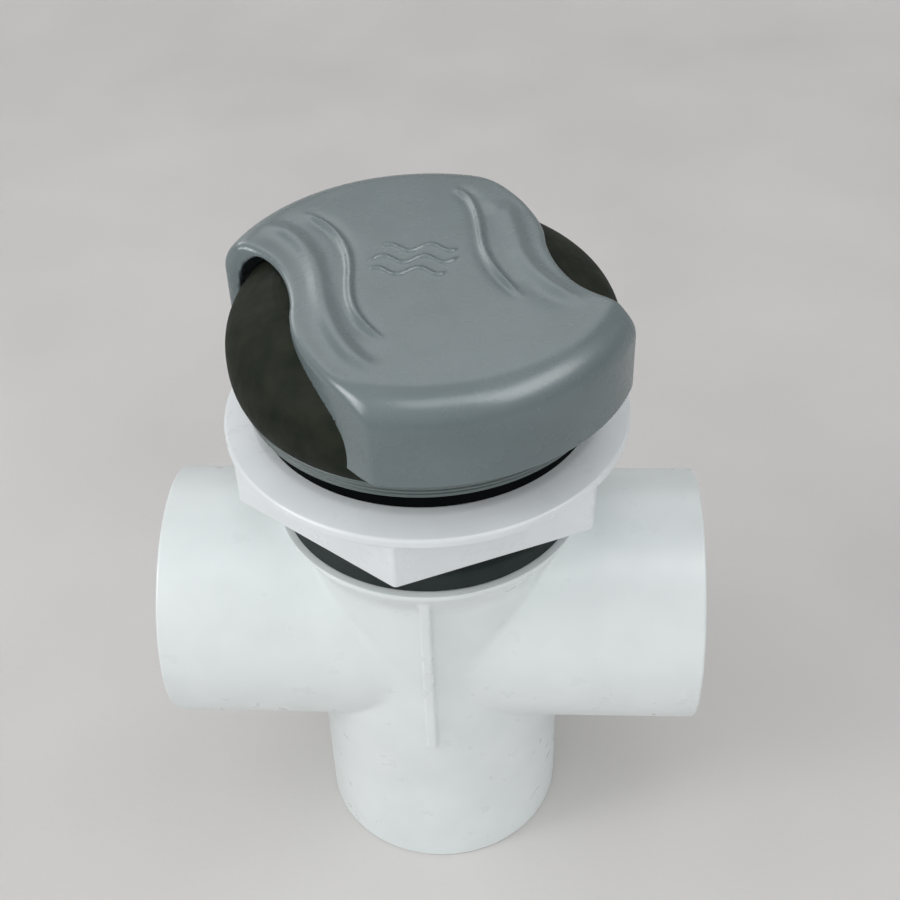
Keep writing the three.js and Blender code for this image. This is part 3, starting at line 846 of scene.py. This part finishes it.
def gate_seal():
    """The seal's frame, shaped flat and then wrapped round the gate."""
    def flat(across, height, radius):
        band = seal_outline(across, height) - SEAL_HALF
        return soft_max(band, np.maximum(radius - SEAL_FACE_R, SEAL_FLOOR_R - radius), 0.9)

    low, high = RUN_Z - SEAL_TALL, RUN_Z + SEAL_TALL
    across = spacing(-SEAL_WIDE - 2, SEAL_WIDE + 2, 0.8, 0.5, (-SEAL_WIDE, SEAL_WIDE))
    height = spacing(low - 2, high + 2, 0.8, 0.5, (low, high))
    depth = np.arange(SEAL_FLOOR_R - 0.5, SEAL_FACE_R + 0.6, 0.3)
    points, normals, faces = level_set(flat, across, height, depth)
    angle = points[:, 0] / SEAL_FACE_R
    level = np.zeros_like(angle)
    outward = np.stack([np.sin(angle), np.cos(angle), level], 1)
    sideways = np.stack([np.cos(angle), -np.sin(angle), level], 1)
    up = np.array((0, 0, 1.0))
    wrapped = outward * points[:, 2:3] + up * points[:, 1:2]
    turned = sideways * normals[:, :1] + up * normals[:, 1:2] + outward * normals[:, 2:3]
    shell = Shell()
    shell.add(wrapped, turned, faces)
    return shell


finish_piece(rotor(), "gate_rotor", "white_rotor", "handle", "rotor")
finish_piece(gate_seal(), "gate_seal_frame", "black_rubber", "handle", "gate_seal")

# ---------------------------------------------------------------- handle base
BASE_Z, BASE_TOP = BASE_LOW[2], BASE_HIGH[2]
BASE_R = BASE_HIGH[0]
BASE_WIDEST = 168.0
BASE_CROWN = 22.0
BASE_UNDERSIDE = 20.7
BASE_POWER = 2.5
BASE_WALL = 2.6
BASE_MOUTH_R = 44.0
POCKET_R, POCKET_Z = 8.0, 181.8
BASE_HUB_R, BASE_HUB_Z = 13.0, 164.0
BASE_BORE_R = 7.4
BASE_AROUND = 192


def dome_radius(z, inset=0.0):
    reach = (BASE_CROWN if z > BASE_WIDEST else BASE_UNDERSIDE) - inset
    share = min(1.0, abs(z - BASE_WIDEST) / reach)
    return (BASE_R - inset) * (1 - share**BASE_POWER) ** (1 / BASE_POWER)


def dome_side(low, high, inset, steps):
    """Points up the dome from low to high, closer together near the top."""
    levels = [low + (high - low) * math.sin(i / steps * math.pi / 2) for i in range(steps + 1)]
    return [(dome_radius(z, inset), z, 0) for z in levels]


def handle_base():
    roof = BASE_TOP - BASE_WALL - 1
    inner = dome_side(BASE_Z + 1, roof - 0.5, BASE_WALL, 12)[::-1]
    return lathe([
        (BASE_MOUTH_R, BASE_Z, 0.3),
        (dome_radius(BASE_Z), BASE_Z, 0.5),
        *dome_side(BASE_Z + 1.2, BASE_WIDEST, 0, 8),
        *dome_side(BASE_WIDEST + 0.5, BASE_TOP - 0.25, 0, 26),
        (dome_radius(BASE_TOP) - 1.0, BASE_TOP, 0.5),
        (POCKET_R, BASE_TOP, 0.4),
        (POCKET_R, POCKET_Z, 0.4),
        (BASE_BORE_R, POCKET_Z, 0.3),
        (BASE_BORE_R, BASE_HUB_Z, 0.3),
        (BASE_HUB_R, BASE_HUB_Z, 0.5),
        (BASE_HUB_R, roof, 1.0),
        (inner[0][0] - 1, roof, 0.5),
        *inner,
    ], around=BASE_AROUND)


finish_piece(handle_base(), "handle_dome", "charcoal_plastic", "handle", "handle_base")

# ---------------------------------------------------------------- handle cover
COVER_Z, COVER_TOP = COVER_LOW[2], COVER_HIGH[2]
COVER_R = 52.8
EDGE_R = 8.5
CROWN = 0.5
COVER_WALL = 2.4
RIM_ROLL = 2.3
EDGE_SHARP = 0.5
NOSE_ROLL = 4.0  # where the cut meets the side at the arch
NOSE_SPAN = (-49.0, -43.0)  # places along X, for the front cut
RELIEF_ROOM = 0.75  # the face lies this much under the CAD's top, to leave room for the crests
SINK = 0.8  # depth of the cover's inner edge in the dome, which keeps their meeting line clean
ARCH_RISE = 2.6
ARCH_WALL = 1.8
ARCH_START, ARCH_END = (-48.5, -45.0), (-32.0, -27.0)  # places along X, for the front cut
ARCH_REACH = (-9.0, -6.0)  # distances from the cut
ARCH_LEVELS = (170, 178)
EMBLEM_X, EMBLEM_Y = -2.0, 4.0
EMBLEM_STEP = 5.2
EMBLEM_WAVE = 10.0
EMBLEM_SWELL = 1.5
EMBLEM_HALF = 11.0
EMBLEM_WIDTH = 0.6
EMBLEM_RISE = 0.6
EMBLEM_SHIFT = 1.2  # each swell lies this much further right than the one in front of it
EMBLEM_TAPER = 1.5  # an outer swell is this much shorter at each end, and all fade over it
CUT = (
    (-8.7, -52.1), (-22.5, -40.5), (-29.5, -26), (-29.9, -15), (-31.2, -3), (-37.5, 11.5),
    (-51.3, 12.6),
)
# Crest lines of the ripples beside each cut, the second pair turned half round like its cut.
INNER_RIPPLES = (
    ((-32, 27), (-22, 20), (-17.6, 10), (-16.8, -2), (-16.2, -15), (-14, -21), (-6, -30)),
    ((-24.5, 13), (-18, 2), (-15, -4), (-13.9, -14), (-12.8, -27), (-11.5, -34), (-6, -39)),
)
OUTER_RIPPLES = (
    ((-41, 22), (-31, 17), (-26, 6), (-23.6, -7), (-21, -21), (-16, -34), (-7, -41.5)),
    ((-39, 15), (-28, 6), (-25, -2), (-23.2, -9), (-21.8, -18), (-20.8, -24), (-18.5, -33)),
)
# Width left of the crest, width right of it, and height.
INNER_SHAPE = (0.9, 1.1, 1.3)
OUTER_SHAPE = (2.4, 2.6, 1.4)
RIPPLE_FADE = 0.14  # share of a crest's length over which each end fades
TROUGH_DEPTH = 0.45  # share of the crest's height
TROUGH_WIDTH = 6  # square of how many times wider than the crest a trough is


def curve(points, steps=24):
    """Two cubic Bezier curves end to end: start, two bends, middle, two bends, end."""
    points = np.array(points, float)
    t = np.linspace(0, 1, steps + 1)[:, None]
    halves = []
    for a, b, c, d in (points[:4], points[3:]):
        bent = 3 * t * (1 - t) ** 2 * b + 3 * t * t * (1 - t) * c
        halves.append((1 - t) ** 3 * a + bent + t**3 * d)
    return np.vstack([halves[0], halves[1][1:]])


def along_curve(x, y, line, beyond=9.0):
    """Signed distance to a polyline, left of it positive, and how far along it the nearest point is.

    The end pieces run on by `beyond` times their own length.
    """
    best = np.full(np.broadcast(x, y).shape, 1e9)
    signed = np.zeros_like(best)
    share = np.zeros_like(best)
    pieces = len(line) - 1
    for i in range(pieces):
        (ax, ay), (bx, by) = line[i], line[i + 1]
        dx, dy = bx - ax, by - ay
        t = ((x - ax) * dx + (y - ay) * dy) / (dx * dx + dy * dy)
        low = -beyond if i == 0 else 0.0
        high = beyond if i == pieces - 1 else 1.0
        held = np.clip(t, low, high)
        away = np.hypot(x - ax - held * dx, y - ay - held * dy)
        side = dx * (y - ay) - dy * (x - ax)
        closer = away < best
        best = np.where(closer, away, best)
        signed = np.where(closer, np.sign(side) * away, signed)
        share = np.where(closer, (i + held) / pieces, share)
    return signed, share


CUT_LINE = curve(CUT)
INNER_LINES = [curve(ripple, 12) for ripple in INNER_RIPPLES]
OUTER_LINES = [curve(ripple, 12) for ripple in OUTER_RIPPLES]


def dome_distance(radius, z):
    """Rough distance from the dome's outer face."""
    rise = np.where(z > BASE_WIDEST, BASE_CROWN, BASE_UNDERSIDE)
    share = np.abs(z - BASE_WIDEST) / rise
    size = (np.abs(radius / BASE_R) ** BASE_POWER + share**BASE_POWER) ** (1 / BASE_POWER)
    shape = (size - 1) * (BASE_R - (BASE_R - BASE_CROWN) * smooth(0.3, 1.0, share))
    return np.maximum(shape, z - BASE_TOP)


def drum(radius, z, top, inset):
    """The cover's outer form, rounded between side and top."""
    edge = EDGE_R - inset
    a = radius - (COVER_R - EDGE_R)
    b = z - (top - EDGE_R)
    return np.hypot(np.maximum(a, 0), np.maximum(b, 0)) + np.minimum(np.maximum(a, b), 0) - edge


def ripple(away, share, left, right, height):
    """A wave crest along a curve, `left` and `right` wide, with a shallow trough on both sides."""
    scaled = np.where(away > 0, away / left, away / right) ** 2
    ends = smooth(0.0, RIPPLE_FADE, share) * (1 - smooth(1 - RIPPLE_FADE, 1.0, share))
    wave = np.exp(-scaled) - TROUGH_DEPTH * np.exp(-scaled / TROUGH_WIDTH)
    return height * ends * wave


def emblem(x, y):
    """Three short swells in relief on the middle of the face, one behind the other."""
    relief = 0.0
    for k in (-1, 0, 1):
        along = x - EMBLEM_X - EMBLEM_SHIFT * k
        across = y - EMBLEM_Y - EMBLEM_STEP * k - EMBLEM_SWELL * np.sin(TURN * along / EMBLEM_WAVE)
        half = EMBLEM_HALF - EMBLEM_TAPER * abs(k)
        ends = 1 - smooth(half - EMBLEM_TAPER, half, np.abs(along))
        relief = relief + EMBLEM_RISE * ends * np.exp(-((across / EMBLEM_WIDTH) ** 2))
    return relief


def cover_plan(x, y):
    """What depends on x and y alone: distance past the cuts, relief, arches and noses."""
    cut = np.full(np.broadcast(x, y).shape, -1e9)
    relief = np.zeros_like(cut)
    arch = np.zeros_like(cut)
    nose = np.zeros_like(cut)
    for side, inner, outer in zip((1, -1), INNER_LINES, OUTER_LINES):
        away, _ = along_curve(side * x, side * y, CUT_LINE)
        cut = np.maximum(cut, away)
        near_end = smooth(*ARCH_START, side * x) * (1 - smooth(*ARCH_END, side * x))
        arch = np.maximum(arch, near_end * smooth(*ARCH_REACH, away))
        nose = np.maximum(nose, 1 - smooth(*NOSE_SPAN, side * x))
        relief += ripple(*along_curve(side * x, side * y, inner), *INNER_SHAPE)
        relief += ripple(*along_curve(side * x, side * y, outer), *OUTER_SHAPE)
    relief += emblem(x, y)
    return cut, relief, arch, nose


def cover_field(x, y, z):
    cut, relief, arch, nose = cover_plan(x, y)
    radius = np.hypot(x, y)
    face = COVER_TOP - RELIEF_ROOM - CROWN * (radius / COVER_R) ** 2
    roll = EDGE_SHARP + (RIM_ROLL - EDGE_SHARP) * smooth(COVER_TOP - 8, COVER_TOP - 3, z)
    roll = np.maximum(roll, NOSE_ROLL * nose)
    outer = soft_max(drum(radius, z, face + relief, 0), cut, roll)
    outer = soft_max(outer, COVER_Z - z, 0.4)
    hollow = soft_max(drum(radius, z, face, COVER_WALL), cut + COVER_WALL, 1.5)
    shell = soft_max(outer, -hollow, 0.5)
    dome = dome_distance(radius, z)
    shell = soft_max(shell, -SINK - dome, 0.4)
    rise = (ARCH_RISE + SINK) * arch * smooth(*ARCH_LEVELS, z)
    opening = soft_max(dome + SINK - rise, drum(radius, z, face, ARCH_WALL), 1.0)
    return soft_max(shell, -opening, 0.8)


def handle_cover():
    shell = Shell()
    reach = COVER_R + 1
    xs = spacing(-reach, reach, 0.6, 0.4, (-CUT[0][0], CUT[0][0]))
    ys = spacing(-reach, reach, 0.6, 0.4, (-COVER_R, COVER_R))
    zs = spacing(COVER_Z - 1, COVER_TOP + 1, 0.8, 0.45, (COVER_Z, COVER_TOP))
    shell.add(*level_set(cover_field, xs, ys, zs))
    return shell


finish_piece(handle_cover(), "wave_cover", "cover_abs", "handle", "handle_cover")


# ---------------------------------------------------------------- floor, lights and camera
# Floor and lights are in metres.
FLOOR_HALF, FLOOR_FRONT, FLOOR_BACK = 1.6, -1.6, 0.9
WALL_TOP = 1.8
BEND_R = 0.35
BEND_STEPS = 16


def backdrop():
    """A pale floor that curves up behind the object."""
    material = plastic(
        "floor", (0.655, 0.64, 0.63), (0.715, 0.70, 0.69), 0.8, 500.0, 0.1, mottle=9.0, **MATT
    )
    bend = FLOOR_BACK - BEND_R
    path = [(FLOOR_FRONT, 0.0), (bend, 0.0)]
    for i in range(1, BEND_STEPS + 1):
        a = i / BEND_STEPS * math.pi / 2
        path.append((bend + BEND_R * math.sin(a), BEND_R - BEND_R * math.cos(a)))
    path.append((FLOOR_BACK, WALL_TOP))
    points = [(x, y, z) for y, z in path for x in (-FLOOR_HALF, FLOOR_HALF)]
    faces = [(2 * i, 2 * i + 1, 2 * i + 3, 2 * i + 2) for i in range(len(path) - 1)]
    mesh = bpy.data.meshes.new("studio_floor")
    mesh.from_pydata(points, [], faces)
    mesh.polygons.foreach_set("use_smooth", [True] * len(faces))
    mesh.materials.append(material)
    made = bpy.data.objects.new("studio_floor", mesh)
    bpy.context.scene.collection.objects.link(made)


LIGHT_TARGET = (0, 0, 0.12)


def area_light(name, place, size, power, color=(1.0, 1.0, 1.0)):
    """A rectangular light that faces the object."""
    data = bpy.data.lights.new(name, "AREA")
    data.shape = "RECTANGLE"
    data.size, data.size_y = size
    data.energy = power
    data.color = color
    made = bpy.data.objects.new(name, data)
    made.location = place
    way = Vector(LIGHT_TARGET) - Vector(place)
    made.rotation_euler = way.to_track_quat("-Z", "Y").to_euler()
    bpy.context.scene.collection.objects.link(made)
    return made


CAMERA_ANGLES = (3.62, 39.948, -2.019)  # azimuth, elevation and roll in degrees
CAMERA_TARGET = (5.368, 0, 131.494)  # millimetres
CAMERA_DISTANCE = 0.37257  # metres
CAMERA_LENS, CAMERA_SENSOR = 56.665, 36  # millimetres


def camera():
    azimuth, elevation, roll = (math.radians(angle) for angle in CAMERA_ANGLES)
    target = Vector(CAMERA_TARGET) * MM
    back = Vector((
        math.sin(azimuth) * math.cos(elevation),
        -math.cos(azimuth) * math.cos(elevation),
        math.sin(elevation),
    ))
    right = (-back).cross(Vector((0, 0, 1))).normalized()
    up = back.cross(right)
    tilted = math.cos(roll) * right + math.sin(roll) * up
    top = -math.sin(roll) * right + math.cos(roll) * up
    data = bpy.data.cameras.new("camera")
    data.sensor_width = CAMERA_SENSOR
    data.lens = CAMERA_LENS
    data.clip_start = 0.01
    made = bpy.data.objects.new("camera", data)
    turned = Matrix((tilted, top, back)).transposed().to_4x4()
    made.matrix_world = Matrix.Translation(target + back * CAMERA_DISTANCE) @ turned
    bpy.context.scene.collection.objects.link(made)
    bpy.context.scene.camera = made


backdrop()
WARM = (1.0, 0.99, 0.98)
area_light("window", (-0.75, -0.35, 0.6), (0.25, 0.32), 1.9, WARM)
fill = area_light("fill", (0.1, -1.0, 0.42), (0.9, 0.3), 1.3, WARM)
fill.visible_glossy = False
# Boxes seen only in reflections: they draw the gleam on the top and along the rounded edges.
for name, place, size, power in (
    ("gleam_right", (0.58, -0.22, 0.8), (0.65, 0.42), 4.6),
    ("gleam_front", (0.12, -0.34, 0.9), (0.5, 0.3), 1.6),
    ("gleam_left", (-0.75, -0.35, 0.6), (0.5, 0.5), 6.0),
    ("gleam_back", (-0.5, 0.55, 0.42), (0.35, 0.25), 0.9),
    ("gleam_top", (-0.05, 0.8, 0.85), (1.1, 0.7), 3.6),
):
    gleam = area_light(name, place, size, power)
    gleam.visible_diffuse = False


WORLD_DARK, WORLD_BRIGHT = (0.18, 0.18, 0.184), (0.89, 0.90, 0.91)
WORLD_RISE = 0.6  # upward part of a direction at which the world is fully bright


def studio_world():
    """Soft light from all round, bright overhead and dark at the horizon."""
    world = bpy.data.worlds.new("studio")
    world.use_nodes = True
    tree = world.node_tree
    place = node(tree, "ShaderNodeTexCoord").outputs["Generated"]
    split = node(tree, "ShaderNodeSeparateXYZ")
    tree.links.new(place, split.inputs["Vector"])
    ramp = node(tree, "ShaderNodeValToRGB")
    ramp.color_ramp.elements[0].color = (*WORLD_DARK, 1)
    ramp.color_ramp.elements[1].color = (*WORLD_BRIGHT, 1)
    ramp.color_ramp.elements[0].position = 0.0
    ramp.color_ramp.elements[1].position = WORLD_RISE
    tree.links.new(split.outputs["Z"], ramp.inputs["Fac"])
    tree.links.new(ramp.outputs["Color"], tree.nodes["Background"].inputs["Color"])
    bpy.context.scene.world = world


studio_world()
bpy.context.scene.view_settings.view_transform = "Standard"
camera()
